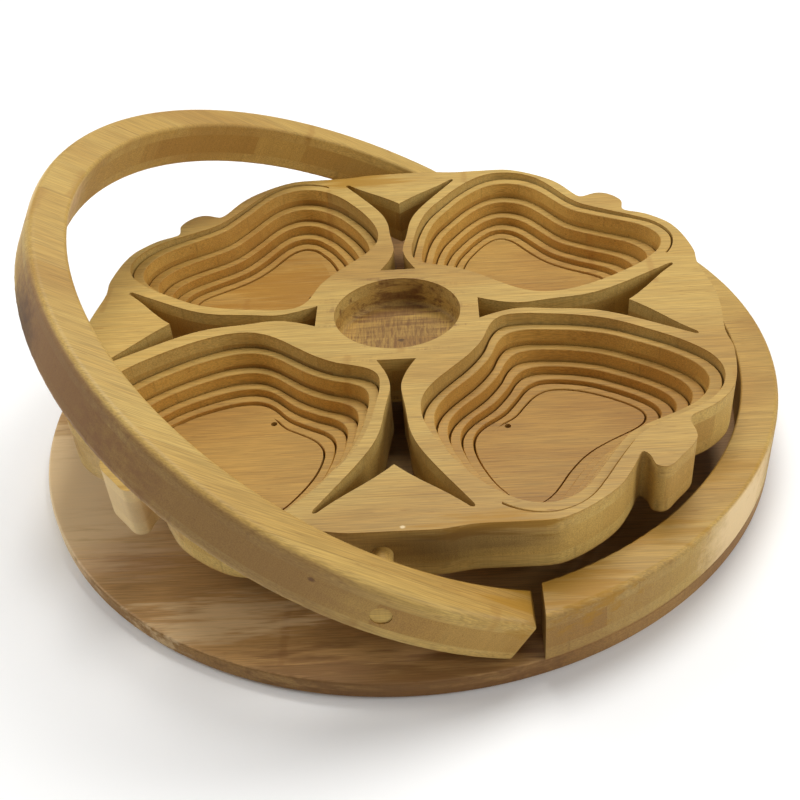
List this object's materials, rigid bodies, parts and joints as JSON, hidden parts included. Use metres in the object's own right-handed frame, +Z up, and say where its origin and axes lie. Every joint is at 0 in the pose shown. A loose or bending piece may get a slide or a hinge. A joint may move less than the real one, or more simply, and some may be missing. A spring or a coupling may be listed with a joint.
{
  "type": "chip and dip server",
  "caption": "Round collapsible bamboo server: a thick tray of apple-shaped spiral-cut bowls round a dip cup, on a base board with a part rim and a swinging arc handle.",
  "frame": {"origin": "middle of the base board's underside", "axes": "+Z up, +X toward the fixed rim, the pivot dowels along Y with the front at -Y"},
  "size_m": [0.3, 0.3, 0.1193],
  "materials": {
    "board_bamboo": "oiled bamboo board with the grain along X",
    "rim_bamboo": "oiled three-ply bamboo with toasted patches",
    "handle_bamboo": "oiled three-ply bamboo, darker outside",
    "tray_bamboo": "oiled three-ply bamboo",
    "strip_bamboo": "sawn and sanded bamboo",
    "dowel_wood": "plain hardwood dowel"
  },
  "bodies": {
    "base": {"base_board": "board_bamboo", "fixed_rim": "rim_bamboo"},
    "tray": {"apple_plate": "tray_bamboo", "front_dowel": "dowel_wood", "back_dowel": "dowel_wood"},
    "handle_arc": {"handle": "handle_bamboo"},
    "front_right_turn_1": {"front_right_turn_1": "strip_bamboo"},
    "front_right_turn_2": {"front_right_turn_2": "strip_bamboo"},
    "front_right_turn_3": {"front_right_turn_3": "strip_bamboo"},
    "front_right_turn_4": {"front_right_turn_4": "strip_bamboo"},
    "front_right_turn_5": {"front_right_turn_5": "strip_bamboo"},
    "front_right_floor": {"front_right_floor": "strip_bamboo"},
    "back_right_turn_1": {"back_right_turn_1": "strip_bamboo"},
    "back_right_turn_2": {"back_right_turn_2": "strip_bamboo"},
    "back_right_turn_3": {"back_right_turn_3": "strip_bamboo"},
    "back_right_turn_4": {"back_right_turn_4": "strip_bamboo"},
    "back_right_turn_5": {"back_right_turn_5": "strip_bamboo"},
    "back_right_floor": {"back_right_floor": "strip_bamboo"},
    "back_left_turn_1": {"back_left_turn_1": "strip_bamboo"},
    "back_left_turn_2": {"back_left_turn_2": "strip_bamboo"},
    "back_left_turn_3": {"back_left_turn_3": "strip_bamboo"},
    "back_left_turn_4": {"back_left_turn_4": "strip_bamboo"},
    "back_left_turn_5": {"back_left_turn_5": "strip_bamboo"},
    "back_left_floor": {"back_left_floor": "strip_bamboo"},
    "front_left_turn_1": {"front_left_turn_1": "strip_bamboo"},
    "front_left_turn_2": {"front_left_turn_2": "strip_bamboo"},
    "front_left_turn_3": {"front_left_turn_3": "strip_bamboo"},
    "front_left_turn_4": {"front_left_turn_4": "strip_bamboo"},
    "front_left_turn_5": {"front_left_turn_5": "strip_bamboo"},
    "front_left_floor": {"front_left_floor": "strip_bamboo"}
  },
  "joints": [
    {"name": "tray_lift", "type": "slide", "parent": "base", "child": "tray", "axis": [0, 0, 1], "range_m": [-0.0222, 0]},
    {"name": "handle_tilt", "type": "hinge", "parent": "tray", "child": "handle_arc", "pos_m": [-0.004, 0, 0.04055], "axis": [0, 1, 0], "range_deg": [-29.06, 0]},
    {"name": "front_right_turn_1_slide", "type": "slide", "parent": "tray", "child": "front_right_turn_1", "axis": [0, 0, 1], "range_m": [0, 0.00422]},
    {"name": "front_right_turn_2_slide", "type": "slide", "parent": "tray", "child": "front_right_turn_2", "axis": [0, 0, 1], "range_m": [0, 0.01132]},
    {"name": "front_right_turn_3_slide", "type": "slide", "parent": "tray", "child": "front_right_turn_3", "axis": [0, 0, 1], "range_m": [0, 0.01665]},
    {"name": "front_right_turn_4_slide", "type": "slide", "parent": "tray", "child": "front_right_turn_4", "axis": [0, 0, 1], "range_m": [0, 0.0202]},
    {"name": "front_right_turn_5_slide", "type": "slide", "parent": "tray", "child": "front_right_turn_5", "axis": [0, 0, 1], "range_m": [0, 0.02198]},
    {"name": "front_right_floor_slide", "type": "slide", "parent": "tray", "child": "front_right_floor", "axis": [0, 0, 1], "range_m": [0, 0.0222]},
    {"name": "back_right_turn_1_slide", "type": "slide", "parent": "tray", "child": "back_right_turn_1", "axis": [0, 0, 1], "range_m": [0, 0.00422]},
    {"name": "back_right_turn_2_slide", "type": "slide", "parent": "tray", "child": "back_right_turn_2", "axis": [0, 0, 1], "range_m": [0, 0.01132]},
    {"name": "back_right_turn_3_slide", "type": "slide", "parent": "tray", "child": "back_right_turn_3", "axis": [0, 0, 1], "range_m": [0, 0.01665]},
    {"name": "back_right_turn_4_slide", "type": "slide", "parent": "tray", "child": "back_right_turn_4", "axis": [0, 0, 1], "range_m": [0, 0.0202]},
    {"name": "back_right_turn_5_slide", "type": "slide", "parent": "tray", "child": "back_right_turn_5", "axis": [0, 0, 1], "range_m": [0, 0.02198]},
    {"name": "back_right_floor_slide", "type": "slide", "parent": "tray", "child": "back_right_floor", "axis": [0, 0, 1], "range_m": [0, 0.0222]},
    {"name": "back_left_turn_1_slide", "type": "slide", "parent": "tray", "child": "back_left_turn_1", "axis": [0, 0, 1], "range_m": [0, 0.00422]},
    {"name": "back_left_turn_2_slide", "type": "slide", "parent": "tray", "child": "back_left_turn_2", "axis": [0, 0, 1], "range_m": [0, 0.01132]},
    {"name": "back_left_turn_3_slide", "type": "slide", "parent": "tray", "child": "back_left_turn_3", "axis": [0, 0, 1], "range_m": [0, 0.01665]},
    {"name": "back_left_turn_4_slide", "type": "slide", "parent": "tray", "child": "back_left_turn_4", "axis": [0, 0, 1], "range_m": [0, 0.0202]},
    {"name": "back_left_turn_5_slide", "type": "slide", "parent": "tray", "child": "back_left_turn_5", "axis": [0, 0, 1], "range_m": [0, 0.02198]},
    {"name": "back_left_floor_slide", "type": "slide", "parent": "tray", "child": "back_left_floor", "axis": [0, 0, 1], "range_m": [0, 0.0222]},
    {"name": "front_left_turn_1_slide", "type": "slide", "parent": "tray", "child": "front_left_turn_1", "axis": [0, 0, 1], "range_m": [0, 0.00422]},
    {"name": "front_left_turn_2_slide", "type": "slide", "parent": "tray", "child": "front_left_turn_2", "axis": [0, 0, 1], "range_m": [0, 0.01132]},
    {"name": "front_left_turn_3_slide", "type": "slide", "parent": "tray", "child": "front_left_turn_3", "axis": [0, 0, 1], "range_m": [0, 0.01665]},
    {"name": "front_left_turn_4_slide", "type": "slide", "parent": "tray", "child": "front_left_turn_4", "axis": [0, 0, 1], "range_m": [0, 0.0202]},
    {"name": "front_left_turn_5_slide", "type": "slide", "parent": "tray", "child": "front_left_turn_5", "axis": [0, 0, 1], "range_m": [0, 0.02198]},
    {"name": "front_left_floor_slide", "type": "slide", "parent": "tray", "child": "front_left_floor", "axis": [0, 0, 1], "range_m": [0, 0.0222]}
  ],
  "couplings": [
    {"joint": "handle_tilt", "follows": "tray_lift", "rad_per_m": 22.846},
    {"joint": "front_right_turn_1_slide", "follows": "tray_lift", "ratio": -0.19},
    {"joint": "front_right_turn_2_slide", "follows": "tray_lift", "ratio": -0.51},
    {"joint": "front_right_turn_3_slide", "follows": "tray_lift", "ratio": -0.75},
    {"joint": "front_right_turn_4_slide", "follows": "tray_lift", "ratio": -0.91},
    {"joint": "front_right_turn_5_slide", "follows": "tray_lift", "ratio": -0.99},
    {"joint": "front_right_floor_slide", "follows": "tray_lift", "ratio": -1},
    {"joint": "back_right_turn_1_slide", "follows": "tray_lift", "ratio": -0.19},
    {"joint": "back_right_turn_2_slide", "follows": "tray_lift", "ratio": -0.51},
    {"joint": "back_right_turn_3_slide", "follows": "tray_lift", "ratio": -0.75},
    {"joint": "back_right_turn_4_slide", "follows": "tray_lift", "ratio": -0.91},
    {"joint": "back_right_turn_5_slide", "follows": "tray_lift", "ratio": -0.99},
    {"joint": "back_right_floor_slide", "follows": "tray_lift", "ratio": -1},
    {"joint": "back_left_turn_1_slide", "follows": "tray_lift", "ratio": -0.19},
    {"joint": "back_left_turn_2_slide", "follows": "tray_lift", "ratio": -0.51},
    {"joint": "back_left_turn_3_slide", "follows": "tray_lift", "ratio": -0.75},
    {"joint": "back_left_turn_4_slide", "follows": "tray_lift", "ratio": -0.91},
    {"joint": "back_left_turn_5_slide", "follows": "tray_lift", "ratio": -0.99},
    {"joint": "back_left_floor_slide", "follows": "tray_lift", "ratio": -1},
    {"joint": "front_left_turn_1_slide", "follows": "tray_lift", "ratio": -0.19},
    {"joint": "front_left_turn_2_slide", "follows": "tray_lift", "ratio": -0.51},
    {"joint": "front_left_turn_3_slide", "follows": "tray_lift", "ratio": -0.75},
    {"joint": "front_left_turn_4_slide", "follows": "tray_lift", "ratio": -0.91},
    {"joint": "front_left_turn_5_slide", "follows": "tray_lift", "ratio": -0.99},
    {"joint": "front_left_floor_slide", "follows": "tray_lift", "ratio": -1}
  ]
}
